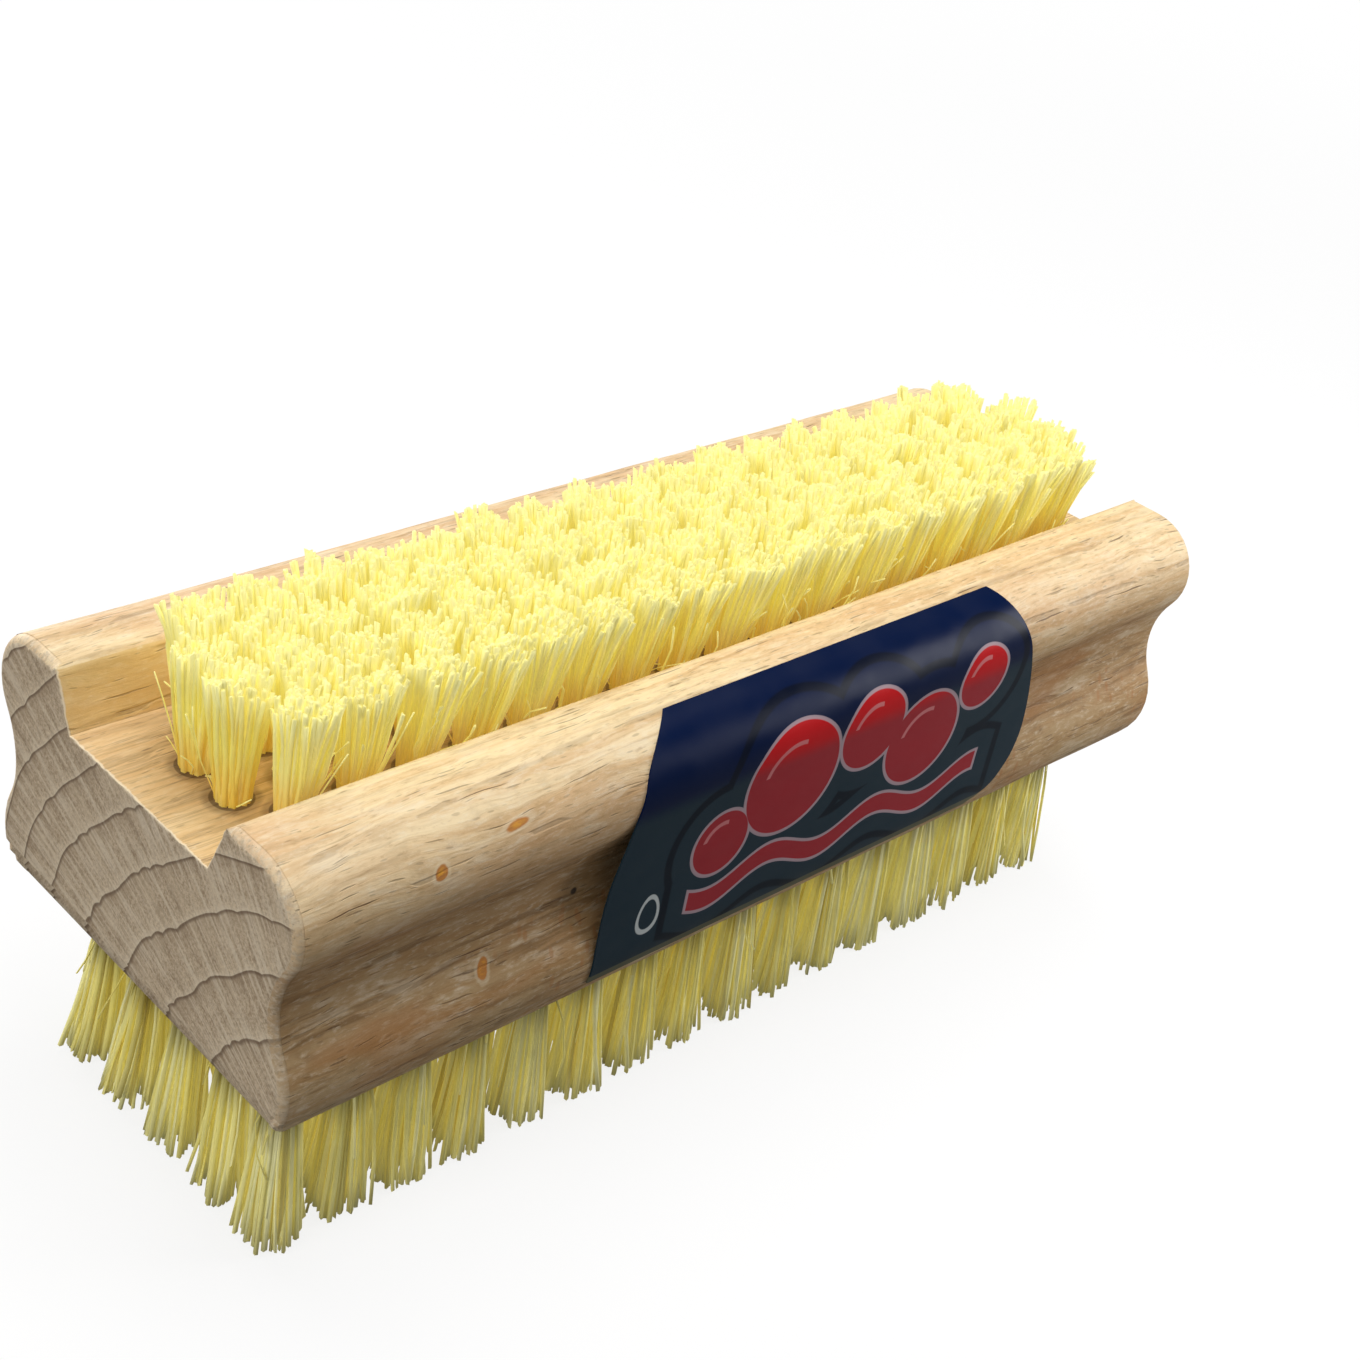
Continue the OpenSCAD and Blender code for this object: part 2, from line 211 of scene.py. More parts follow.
topTufts = {
    "rowY": (-6.2, -2.9, 1.3, 4.6), "tipY": (-7.5, -3.0, 1.4, 5.8), "tufts": (17, 18, 18, 17),
    "pitch": 84.2 / 17, "mouth": 32.2, "side": 1, "length": 10.0, "over": 0.3, "strands": 98,
    "rootRadius": 1.15, "tipHalf": (2.15, 1.98), "thickness": 0.22, "lean": 0.0,
    "clump": 1.3, "uneven": 0.28, "bend": 0.38, "stray": 0.05, "hairs": 7, "seed": 107,
}
underTufts = {
    "rowY": (-10.8, -5.4, 0.0, 5.4, 10.8), "tipY": (-11.8, -5.9, 0.0, 5.9, 11.8),
    "tufts": (16, 16, 16, 16, 16), "pitch": 84.2 / 15, "mouth": 13.2, "side": -1,
    "length": 13.2, "over": -0.02, "strands": 90, "rootRadius": 1.15, "tipHalf": (2.1, 2.35),
    "thickness": 0.215, "lean": 1.2, "clump": 0.30, "uneven": 0.22, "bend": 0.42,
    "stray": 0.03, "hairs": 3, "seed": 100,
}


# Wooden block

block = {
    "length": 95.0, "width": 36.2, "height": 23.5, "underside": 13.2,
    "railRadius": 4.7, "flangeRadius": 6.0, "flangeInset": 0.2, "waistRadius": 7.0,
    # rounding under the ends, and the degrees of its steps
    "endBottom": 4.5, "endTurns": range(30, 91, 12),
    "channelDepth": 4.5, "floorWidth": 16.6, "wallLean": 23.0, "railEdge": 1.0,
    # lowest height and half width of the zone round the channel
    "channelZone": (18.2, 10.6),
    "arcSteps": 12, "edgeSteps": 5, "longEdge": 3, "sideCuts": 5, "floorEdge": 8, "floorCuts": 15,
    # cross cuts, partly spaced evenly and partly crowded towards the ends
    "stations": 96, "evenStations": 0.65, "crowdedStations": 0.35,
    "rimHeight": 0.2, "wornEdge": 0.8, "wornSteps": 4, "channelEdge": 0.2, "channelSteps": 2,
    "wander": 0.07, "wanderGrain": 0.11, "wanderSeed": 5, "flatness": 0.9999, "crease": 26,
    "splinter": 0.16, "jagGrain": 1.9, "fineJagGrain": 5.3, "fineJag": 0.7, "jagInward": -0.3,
}
# what a face shows, and the values between two kinds
longKind, wornKind, endKind = 0.0, 0.5, 1.0
nearLong, nearEnd = 0.25, 0.75
snap = 0.001


def blockCentres():
    rail = Vector((
        0, block["width"] / 2 - block["railRadius"], block["height"] - block["railRadius"]
    ))
    flange = Vector((
        0, block["width"] / 2 - block["flangeInset"] - block["flangeRadius"],
        block["flangeRadius"],
    ))
    up = rail - flange
    span = up.length
    up.normalize()
    out = Vector((0, up.z, -up.y))
    toFlange = block["flangeRadius"] + block["waistRadius"]
    toRail = block["railRadius"] + block["waistRadius"]
    along = (toFlange ** 2 - toRail ** 2 + span ** 2) / (2 * span)
    waist = flange + up * along + out * math.sqrt(toFlange ** 2 - along ** 2)
    return rail, flange, waist


def bearing(centre, point):
    return math.atan2(point.z - centre.z, point.y - centre.y)


def drawOn(bm, vert, point):
    moved = bmesh.ops.extrude_vert_indiv(bm, verts=[vert])["verts"][0]
    moved.co = point
    return moved


def arcOn(bm, vert, centre, turn, steps):
    spun = bmesh.ops.spin(
        bm, geom=[vert], cent=centre, axis=(1, 0, 0), angle=turn, steps=steps, use_merge=False
    )["geom_last"]
    return [g for g in spun if isinstance(g, bmesh.types.BMVert)][0]


def drawSection(bm):
    rail, flange, waist = blockCentres()
    floor = block["height"] - block["channelDepth"]
    lean = math.radians(block["wallLean"])
    edgeHeight = block["height"] - block["railEdge"]
    edge = Vector((
        0,
        block["floorWidth"] / 2 + (edgeHeight - floor) * math.tan(lean)
        + block["railEdge"] / math.cos(lean),
        edgeHeight,
    ))
    hollow = bearing(waist, rail) - bearing(waist, flange)
    if hollow > 0:
        hollow -= 2 * math.pi
    steps = block["arcSteps"]
    pen = bm.verts.new((0, 0, 0))
    pen = drawOn(bm, pen, Vector((0, flange.y, 0)))
    pen = arcOn(bm, pen, flange, bearing(flange, waist) + math.pi / 2, steps)
    pen = arcOn(bm, pen, waist, hollow, steps)
    pen = arcOn(bm, pen, rail, math.pi / 2 - bearing(rail, waist), steps)
    pen = drawOn(bm, pen, Vector((0, edge.y, block["height"])))
    pen = arcOn(bm, pen, edge, math.pi / 2 - lean, block["edgeSteps"])
    pen = drawOn(bm, pen, Vector((0, block["floorWidth"] / 2, floor)))
    drawOn(bm, pen, Vector((0, 0, floor)))
    bmesh.ops.mirror(bm, geom=bm.verts[:] + bm.edges[:], axis="Y", merge_dist=snap)
    bmesh.ops.remove_doubles(bm, verts=bm.verts[:], dist=snap)


def cutThrough(bm, point, normal):
    bmesh.ops.bisect_plane(
        bm, geom=bm.verts[:] + bm.edges[:] + bm.faces[:], dist=snap,
        plane_co=point, plane_no=normal,
    )


def growBlock(bm):
    longOnes = [e for e in bm.edges if e.calc_length() > block["longEdge"]]
    floorOnes = [
        e for e in longOnes if e.calc_length() > block["floorEdge"] and e.verts[0].co.z > 1
    ]
    sideOnes = [e for e in longOnes if e not in floorOnes]
    bmesh.ops.subdivide_edges(bm, edges=floorOnes, cuts=block["floorCuts"])
    bmesh.ops.subdivide_edges(bm, edges=sideOnes, cuts=block["sideCuts"])
    bmesh.ops.contextual_create(bm, geom=bm.edges[:])
    for turn in block["endTurns"]:
        cutThrough(bm, (0, 0, block["endBottom"] * (1 - math.cos(math.radians(turn)))), (0, 0, 1))
    half = block["length"] / 2
    bmesh.ops.translate(bm, verts=bm.verts[:], vec=(-half, 0, 0))
    grown = bmesh.ops.extrude_face_region(bm, geom=bm.faces[:], use_keep_orig=True)["geom"]
    bmesh.ops.translate(
        bm, verts=[g for g in grown if isinstance(g, bmesh.types.BMVert)],
        vec=(block["length"], 0, 0),
    )
    bmesh.ops.recalc_face_normals(bm, faces=bm.faces[:])
    for station in range(1, block["stations"]):
        share = station / block["stations"]
        crowded = -half * math.cos(math.pi * share) * block["crowdedStations"]
        even = (2 * share - 1) * half * block["evenStations"]
        cutThrough(bm, (crowded + even, 0, 0), (1, 0, 0))


def endInset(height):
    radius = block["endBottom"]
    if height > radius:
        return 0.0
    return radius - math.sqrt(max(radius ** 2 - (radius - max(height, 0.0)) ** 2, 0.0))


def wearEdges(bm, kinds, rim):
    zoneHeight, zoneHalf = block["channelZone"]
    atChannel = [
        e for e in rim
        if max(abs(v.co.y) for v in e.verts) < zoneHalf
        and min(v.co.z for v in e.verts) > zoneHeight
    ]
    outside = [e for e in rim if e not in atChannel]
    for edges, size, steps in (
        (outside, block["wornEdge"], block["wornSteps"]),
        (atChannel, block["channelEdge"], block["channelSteps"]),
    ):
        edges = [e for e in edges if e.is_valid]
        worn = bmesh.ops.bevel(
            bm, geom=edges, offset=size, affect="EDGES", segments=steps, profile=0.5, material=-1,
        )["faces"]
        for face in worn:
            face[kinds] = wornKind
    # the planed edges round the channel are a little splintered
    for vert in {v for f in worn for v in f.verts}:
        if all(f[kinds] < nearEnd for f in vert.link_faces):
            jag = noise.noise(vert.co * block["jagGrain"])
            jag += block["fineJag"] * noise.noise(vert.co * block["fineJagGrain"])
            side = 1 if vert.co.x > 0 else -1
            vert.co.x += side * block["splinter"] * max(jag, block["jagInward"])


def makeBlock(material):
    bm = bmesh.new()
    kinds = bm.faces.layers.float.new("faceKind")
    grain = bm.verts.layers.float.new("endGrain")
    drawSection(bm)
    growBlock(bm)
    half = block["length"] / 2
    for face in bm.faces:
        atEnd = all(abs(abs(v.co.x) - half) < snap for v in face.verts)
        face[kinds] = endKind if atEnd else longKind
    rim = [
        e for e in bm.edges
        if abs(e.link_faces[0][kinds] - e.link_faces[-1][kinds]) > wornKind
        and max(v.co.z for v in e.verts) > block["rimHeight"]
    ]
    # without a seed, noise vectors depend on the clock
    noise.seed_set(block["wanderSeed"])
    for vert in bm.verts:
        vert.co.x *= (half - endInset(vert.co.z)) / half
        wander = noise.noise_vector(vert.co * block["wanderGrain"])
        vert.co.y += wander.y * block["wander"]
        vert.co.z += wander.z * block["wander"]
    wearEdges(bm, kinds, rim)
    for vert in bm.verts:
        met = [f[kinds] for f in vert.link_faces]
        if max(met) > nearEnd:
            vert[grain] = endKind
        else:
            vert[grain] = longKind if min(met) < nearLong else wornKind
    bmesh.ops.translate(bm, verts=bm.verts[:], vec=(0, 0, block["underside"]))
    bm.normal_update()
    bm.faces.index_update()
    flat = [f.index for f in bm.faces if abs(f.normal.x) > block["flatness"]]
    piece = finishPiece("block", bm, material, ["wooden_block"], block["crease"])
    for index in flat:
        piece.data.polygons[index].use_smooth = False


wood = {
    "pale": "#F5DDB0", "mid": "#E0BC8A", "dark": "#AE8450", "pore": "#61411F",
    # painted shade: the second, fourth and fifth browns on the next line also paint shade low on
    # the label's side, besides mottle, grain streaks and ray flecks; the third is only painted
    # shade, on the rail's side below its top
    "blush": "#D9A97C", "dull": "#8A6636", "flankShade": "#B07C3C", "streak": "#86643A",
    "emberAndShade": "#B57A42", "dust": "#F6E8CC", "splinter": "#F1E0C2", "floor": "#E2BE86",
    # the last brown on the next line paints the shade in and round the bores
    "wall": "#DEB972", "char": "#3B2412",
    "endPale": "#DDC8A8", "endDark": "#AC9375", "endLate": "#9C8468", "endLine": "#6F5740",
    "endRay": "#E6D6BC",
    "resinHalo": "#F6E6C4", "resin": "#C07418", "resinCore": "#DC9A30", "knot": "#2A1B10",
    # resin marks on the label's side as place along the block, height and half sizes
    "resinMarks": (
        (-29.6, 21.4, 1.15, 0.30), (-36.2, 20.4, 0.46, 0.48), (-30.9, 9.3, 0.42, 0.72),
    ),
    "resinBend": 1.5, "resinSlant": -0.10, "resinUneven": 1.4,
    "knotPlace": (-22.5, 12.0), "knotRadius": 0.26, "nearSide": -12,
    # centre of the growth rings, outside the near lower corner
    "ringCentre": (-31.6, -5.3), "ringStretch": 1.2, "firstRing": 20.1,
    "ringRate": 0.215, "ringGrowth": 0.0027,
    "scallops": 25.0, "scallopSway": 14.0, "scallopDepth": 0.17, "drift": 4.0, "ripple": 0.3,
    "grainBend": 1.6, "porePlace": (9.0, 4.0, 2.0),
    "rays": 95.0, "rayLength": 0.22, "wideRays": 27.0, "wideRayLength": 0.12, "rayDepth": 0.3,
    # zones as lowest height and half width, and the highest place of the underside
    "wallZone": (19.15, 10.2), "floorZone": (18.4, 8.6), "undersideTop": 0.8,
    # reach of the shade round a bore, and how fast it fades at the ends of a row
    "boreShade": 2.3, "boreFade": 9.0,
    "rough": (0.56, 0.72), "relief": 0.40, "depth": 0.00022,
}
# noise as waves per millimetre along, across and up, detail and roughness
woodNoise = {
    "drift": ((0.016, 0.05, 0.05), 2.0), "ripple": ((0.09, 0.25, 0.25), 3.0),
    "sway": ((0.03, 0.11, 0.11), 1.0), "patch": ((0.06, 0.12, 0.12), 3.0),
    "warm": ((0.07, 0.16, 0.16), 2.0), "speck": ((1.0, 5.0, 5.0), 3.0, 0.65),
    "frayed": ((1.2, 2.4, 2.4), 3.0, 0.6),
}
# noise along the bent grain
grainNoise = {
    "streak": ((0.04, 1.1, 1.1), 3.0, 0.6), "fine": ((0.16, 5.5, 5.5), 3.0, 0.65),
    "dust": ((0.95, 3.2, 3.2), 4.0, 0.65), "soft": ((0.10, 1.5, 1.5), 3.0, 0.55),
    "mottle": ((0.22, 0.7, 0.7), 4.0, 0.65), "broken": ((0.20, 0.8, 0.8), 1.0),
}
# short marks as cells per millimetre, size and share of the cells that have one
woodDashes = {
    "longPore": ((0.10, 3.4, 3.4), 0.25, 0.36), "midPore": ((0.28, 3.6, 3.6), 0.27, 0.22),
    "shortPore": ((0.8, 4.4, 4.4), 0.34, 0.22), "fleck": ((1.5, 0.9, 0.5), 0.40, 0.6),
}
# where the masks start and end, in millimetres, and their strengths there
woodMasks = {
    # apart from outside and fleck, these masks place the painted shade on the label's side
    "outside": (12.0, 15.0), "sideShade": (10.0, -12.0, 0.15, 1.0),
    "overFlange": (2.0, 8.0, 0.5, 1.0), "low": (19.5, 14.5), "flankShade": (22.8, 19.5),
    "fleck": (12.5, 10.5),
}


def boreShade(x, y, tufts):
    shade = None
    for rowY, count in zip(tufts["rowY"], tufts["tufts"]):
        offset = 0.5 if count % 2 == 0 else 0.0
        nearX = abs((x / tufts["pitch"] + offset + 0.5).maths("FRACT") - 0.5) * tufts["pitch"]
        reach = (wood["boreShade"] - distance(nearX, y - rowY)).least(1.0)
        reach = reach.least((tufts["pitch"] * count / 2 - abs(x)) * wood["boreFade"])
        shade = reach if shade is None else shade.most(reach)
    return shade


def resinAndKnot(finish, colour, x, height, near, ripple, mottle, dust):
    for markX, markZ, halfX, halfZ in wood["resinMarks"]:
        across = (x - markX + ripple * wood["resinBend"]) / halfX
        down = (height - markZ + (x - markX) * wood["resinSlant"]) / halfZ
        spot = distance(across, down) + (mottle - 0.5) * wood["resinUneven"]
        colour = finish.coats(
            colour,
            (spot.ramped(1.75, 1.35) * near * 0.3, wood["resinHalo"]),
            (spot.ramped(1.15, 0.85) * near * 0.9, wood["resin"]),
            (spot.ramped(0.9, 0.4) * near * dust.ramped(0.42, 0.6), wood["resinCore"]),
        )
    spot = distance(x - wood["knotPlace"][0], height - wood["knotPlace"][1])
    ink = spot.ramped(wood["knotRadius"] * 1.5, wood["knotRadius"] * 0.7)
    return finish.coats(colour, (ink * near * 0.9, wood["knot"]))


def woodFinish():
    finish = Finish("beechWood")
    place = finish.place()
    x, y, z = finish.split(place)
    height = z - block["underside"]
    drift, ripple, sway, patch, warm, speck, frayed = finish.clouds(place, woodNoise.values())
    ripple = ripple - 0.5

    # growth rings
    sideways = (y - wood["ringCentre"][0]) / wood["ringStretch"]
    upward = height - wood["ringCentre"][1]
    turn = upward.maths("ARCTAN2", sideways)
    radius = distance(sideways, upward)
    scallop = abs((turn * wood["scallops"] + (sway - 0.5) * wood["scallopSway"]).maths("SINE"))
    out = radius - scallop * wood["scallopDepth"] + (drift - 0.5) * wood["drift"]
    out = out + ripple * wood["ripple"] - wood["firstRing"]
    ring = (out * wood["ringRate"] + out * out * wood["ringGrowth"]).maths("FRACT")
    line = ring.ramped(0.91, 0.975) * ring.ramped(1.0, 0.985)
    late = ring.ramped(0.60, 0.98)
    early = ring.ramped(0.28, 0.0)

    # long grain: streaks, broken pore lines and ray flecks
    sag = ripple * wood["grainBend"]
    bent = finish.shift(place, finish.join(0.0, sag, sag))
    streak, fine, dust, soft, mottle, broken = finish.clouds(bent, grainNoise.values())
    longPore = finish.dashes(bent, *woodDashes["longPore"])
    midPore = finish.dashes(bent, *woodDashes["midPore"])
    shortPore = finish.dashes(finish.shift(bent, wood["porePlace"]), *woodDashes["shortPore"])
    ringDash = ring.ramped(0.86, 0.90) * ring.ramped(1.0, 0.96) * broken.ramped(0.50, 0.56)

    # painted shade: the label's side is painted duller and browner than the back, darkest low on
    # the waist under the rail and on the rail's side below its top
    outside = abs(y).ramped(*woodMasks["outside"])
    shadedSide = y.ramped(*woodMasks["sideShade"]) * height.ramped(*woodMasks["overFlange"]) * outside
    # painted shade low on the waist under the rail, and on the rail's side below its top
    low = height.ramped(*woodMasks["low"]) * shadedSide
    flankShade = height.ramped(*woodMasks["flankShade"]) * shadedSide
    fleckZone = patch.ramped(0.42, 0.56) * height.ramped(*woodMasks["fleck"]) * outside
    fleck = finish.dashes(place, *woodDashes["fleck"]) * fleckZone
    wall, onFloor, atChannel = (
        (height > lowest) * (abs(y) < half)
        for lowest, half in (wood["wallZone"], wood["floorZone"], block["channelZone"])
    )

    longGrain = finish.mix(streak.ramped(0.34, 0.70), tint(wood["pale"]), tint(wood["mid"]))
    longGrain = finish.coats(
        longGrain,
        (late * 0.12, wood["dark"]),
        (patch.ramped(0.40, 0.66) * 0.40, wood["blush"]),
        # painted shade: the coats below that grow with low darken the waist on the label's side,
        # and the second coat below darkens the rail's side below its top
        (low * 0.54, wood["dull"]),
        (flankShade * 0.26, wood["flankShade"]),
        (mottle.ramped(0.50, 0.70) * (0.22 + low * 0.2), wood["dull"]),
        (mottle.ramped(0.48, 0.32) * 0.35, wood["dust"]),
        (fine.ramped(0.50, 0.80) * 0.45, wood["dark"]),
        (soft.ramped(0.54, 0.70) * (0.22 + low * 0.5), wood["streak"]),
        (dust.ramped(0.50, 0.72) * 0.38, wood["dust"]),
        (dust.ramped(0.46, 0.28) * 0.35, wood["dark"]),
        (fleck * 0.5, wood["emberAndShade"]),
        # painted shade: warm patches only low on the label's side
        (warm.ramped(0.52, 0.68) * low * 0.45, wood["emberAndShade"]),
        (wall * 0.55, wood["wall"]),
        (onFloor * (1 - wall) * 0.55, wood["floor"]),
        (onFloor * soft.ramped(0.48, 0.62) * 0.20, wood["streak"]),
        (onFloor * fine.ramped(0.50, 0.62) * 0.22, wood["pore"]),
        (longPore * (0.5 + late * 0.3), wood["pore"]),
        (midPore * 0.42, wood["pore"]),
        (shortPore * 0.28, wood["pore"]),
        (ringDash * 0.22, wood["pore"]),
    )
    near = y < wood["nearSide"]
    longGrain = resinAndKnot(finish, longGrain, x, height, near, ripple, mottle, dust)

    # end grain: taupe with scalloped rings and pale rays
    depth = x * wood["rayDepth"]
    ray = finish.cloud(
        finish.join(turn * wood["rays"], radius * wood["rayLength"], depth), 2.0, 0.6
    )
    wideRay = finish.cloud(
        finish.join(turn * wood["wideRays"], radius * wood["wideRayLength"], depth), 1.0
    )
    endGrain = finish.mix(
        speck.ramped(0.36, 0.64) * 0.75 + early * 0.35,
        tint(wood["endDark"]), tint(wood["endPale"]),
    )
    endGrain = finish.coats(
        endGrain,
        (dust.ramped(0.40, 0.70) * 0.35, wood["endRay"]),
        (late * 0.50, wood["endLate"]),
        (ray.ramped(0.48, 0.66) * 0.60, wood["endRay"]),
        (ray.ramped(0.46, 0.32) * 0.28, wood["endLine"]),
        (wideRay.ramped(0.52, 0.70) * 0.30, wood["endPale"]),
        (line * 0.75, wood["endLine"]),
        (ring.ramped(0.10, 0.0) * 0.35, wood["endRay"]),
    )

    kind = finish.attribute("endGrain") + (frayed - 0.5) * 0.7
    isEnd = kind.ramped(0.42, 0.66)
    rubbed = kind.ramped(0.05, 0.35) * kind.ramped(0.85, 0.55)
    # painted shade: a soft darkening round each bore, and a dark ring where the tuft meets the
    # wood
    shade = boreShade(x, y, topTufts).least(onFloor)
    shade = shade.most(boreShade(x, y, underTufts).least(height < wood["undersideTop"]))
    colour = finish.coats(
        finish.mix(isEnd, longGrain, endGrain),
        (rubbed * (0.22 + atChannel * 0.6), wood["splinter"]),
        (shade.ramped(0.0, 0.6) * 0.35, wood["char"]),
        (shade.ramped(0.72, 0.82) * 0.6, wood["char"]),
    )
    finish.look(baseColor=colour, roughness=streak.ramped(0.3, 0.7, *wood["rough"]))
    furrows = fine * 0.4 + dust * 0.35 - longPore * 0.8 - midPore * 0.6 - ringDash * 0.6
    ends = speck * 0.4 + ray * 0.5 - line * 0.15
    finish.relief(furrows * (1 - isEnd) + ends * isEnd, wood["relief"], wood["depth"])
    return finish.material


# Bristle rows, with every strand a bent four-sided stalk

stalk = {
    # heights of the rings along a strand, as shares of its length
    "rings": (-0.10, 0.0, 0.4, 0.75, 1.0), "sides": 4,
    "turn": 2.39996, "turnSpread": 0.25, "square": 0.55, "tipSpread": 0.14, "innerBend": 0.25,
    "clumpGrain": 0.55, "clumpLift": 0.45, "clumpStep": (3.7, 11.3),
    "strayReach": (0.3, 1.0), "strayBend": 2.0, "strayCut": (0.2, 1.4),
    "thickness": (0.72, 1.22), "flat": (0.75, 1.0), "slant": 0.6, "taper": 0.10,
    "spread": 1.1, "bow": 0.5, "leanSpread": 0.16, "tiltSpread": 0.12,
    "tuftTone": (0.5, 0.09), "toneSpread": 0.22, "crease": 100, "seedStep": 10,
}
hair = {
    "root": 0.9, "out": (0.5, 2.0), "spread": (0.6, 0.4), "bend": 1.1,
    "reach": (0.12, 0.75), "thickness": (0.06, 0.12),
}


def strandBlank():
    bm = bmesh.new()
    bmesh.ops.create_circle(bm, cap_ends=True, segments=stalk["sides"], radius=1.0)
    rim = bm.edges[:]
    for ring in stalk["rings"][1:]:
        grown = bmesh.ops.extrude_edge_only(bm, edges=rim)["geom"]
        rim = [g for g in grown if isinstance(g, bmesh.types.BMEdge)]
        verts = [g for g in grown if isinstance(g, bmesh.types.BMVert)]
        bmesh.ops.translate(bm, verts=verts, vec=(0, 0, 1))
    bmesh.ops.contextual_create(bm, geom=rim)
    bmesh.ops.recalc_face_normals(bm, faces=bm.faces[:])
    blank = bpy.data.meshes.new("strandBlank")
    bm.to_mesh(blank)
    bm.free()
    return blank


def fullStrand(tufts, dice, index, seed):
    # root place in the bore and tip place in the cut face, both from the middle of the tuft
    share = math.sqrt((index + 0.5) / tufts["strands"])
    turn = index * stalk["turn"] + dice.uniform(-stalk["turnSpread"], stalk["turnSpread"])
    ray = Vector((math.cos(turn), math.sin(turn), 0))
    square = 1 / max(abs(ray.x), abs(ray.y)) ** stalk["square"]
    halfX, halfY = tufts["tipHalf"]
    tip = Vector((ray.x * halfX, ray.y * halfY, 0)) * share * square
    tip += Vector((dice.gauss(0, stalk["tipSpread"]), dice.gauss(0, stalk["tipSpread"]), 0))
    bend = Vector((dice.gauss(0, 1), dice.gauss(0, 1), 0)) * tufts["bend"]
    bend *= stalk["innerBend"] + (1 - stalk["innerBend"]) * share
    spot = Vector((tip.x * stalk["clumpGrain"], tip.y * stalk["clumpGrain"], seed))
    cut = tufts["clump"] * (stalk["clumpLift"] + noise.noise(spot))
    cut += abs(dice.gauss(0, tufts["uneven"]))
    if dice.random() < tufts["stray"]:
        tip += ray * dice.uniform(*stalk["strayReach"])
        bend *= stalk["strayBend"]
        cut += dice.uniform(*stalk["strayCut"])
    thick = tufts["thickness"] * dice.uniform(*stalk["thickness"])
    return ray * share * tufts["rootRadius"], tip, bend, tufts["length"] - cut, thick


def looseHair(tufts, dice):
    turn = dice.uniform(0, 2 * math.pi)
    ray = Vector((math.cos(turn), math.sin(turn), 0))
    root = ray * tufts["rootRadius"] * hair["root"]
    tip = root + ray * dice.uniform(*hair["out"])
    tip += Vector((dice.gauss(0, hair["spread"][0]), dice.gauss(0, hair["spread"][1]), 0))
    bend = Vector((dice.gauss(0, 1), dice.gauss(0, 1), 0)) * hair["bend"]
    reach = tufts["length"] * dice.uniform(*hair["reach"])
    return root, tip, bend, reach, dice.uniform(*hair["thickness"])


def layStrand(verts, tufts, middle, sway, strand, dice, perStrand):
    root, tip, bend, reach, thick = strand
    flat = dice.uniform(*stalk["flat"])
    across = Matrix.Rotation(dice.uniform(0, math.pi), 2)
    slant = Vector([dice.uniform(-stalk["slant"], stalk["slant"]) for side in range(2)])
    sway = sway * (reach / tufts["length"])
    flows = []
    for step in range(perStrand):
        vert = next(verts)
        share = stalk["rings"][round(vert.co.z)]
        flow = max(share, 0.0)
        corner = across @ Vector((vert.co.x, vert.co.y * flat))
        line = root.lerp(tip + sway, flow ** stalk["spread"])
        line += bend * math.sin(math.pi * flow) * stalk["bow"]
        up = share * reach + (thick * slant.dot(corner) if share == 1.0 else 0.0)
        up = min(up, tufts["length"] + tufts["over"])
        size = thick * (1.0 - stalk["taper"] * flow)
        vert.co = middle + line + Vector((corner.x * size, corner.y * size, 0))
        vert.co.z = tufts["mouth"] + tufts["side"] * up
        flows.append(flow)
    return flows


def makeRow(tufts, row, name, nodeName, blank, material):
    dice = random.Random(tufts["seed"] + stalk["seedStep"] * row)
    perTuft = tufts["strands"] + tufts["hairs"]
    count = tufts["tufts"][row]
    bm = bmesh.new()
    for copy in range(count * perTuft):
        bm.from_mesh(blank)
    perStrand = len(blank.vertices)
    tones, heights = [], []
    verts = iter(bm.verts)
    rowY = tufts["rowY"][row]
    for tuft in range(count):
        middle = Vector(((tuft - (count - 1) / 2) * tufts["pitch"], rowY, 0))
        sway = Vector((
            dice.gauss(-tufts["lean"], stalk["leanSpread"]),
            tufts["tipY"][row] - rowY + dice.gauss(0, stalk["tiltSpread"]), 0,
        ))
        tuftTone = dice.gauss(*stalk["tuftTone"])
        seed = stalk["clumpStep"][0] * tuft + stalk["clumpStep"][1] * row
        for index in range(perTuft):
            if index < tufts["strands"]:
                strand = fullStrand(tufts, dice, index, seed)
            else:
                strand = looseHair(tufts, dice)
            flows = layStrand(verts, tufts, middle, sway, strand, dice, perStrand)
            tone = min(max(tuftTone + dice.gauss(0, stalk["toneSpread"]), 0.0), 1.0)
            tones += [tone] * perStrand
            heights += flows
    if tufts["side"] < 0:
        bmesh.ops.reverse_faces(bm, faces=bm.faces[:])
    piece = finishPiece(name, bm, material, [nodeName], stalk["crease"])
    for key, values in (("strandTone", tones), ("strandHeight", heights)):
        layer = piece.data.attributes.new(key, "FLOAT", "POINT")
        layer.data.foreach_set("value", values)


# glow is painted light in the stalks
bristle = {
    "short": {
        "body": "#F6EA7A", "pale": "#F6EF98", "tip": "#F1E99E", "tan": "#E4CA54",
        "greenish": "#D4D486", "shade": "#DCA92E", "shadeTo": 0.55, "shadeBy": 0.62,
        "green": 0.15, "tips": 0.80, "glow": 0.20,
    },
    "long": {
        "body": "#FFF188", "pale": "#FFFABA", "tip": "#FEF6AE", "tan": "#B49A44",
        "greenish": "#DCD890", "shade": "#5C4C1C", "shadeTo": 0.48, "shadeBy": 0.96,
        "green": 0.30, "tips": 0.35, "glow": 0.10,
    },
}


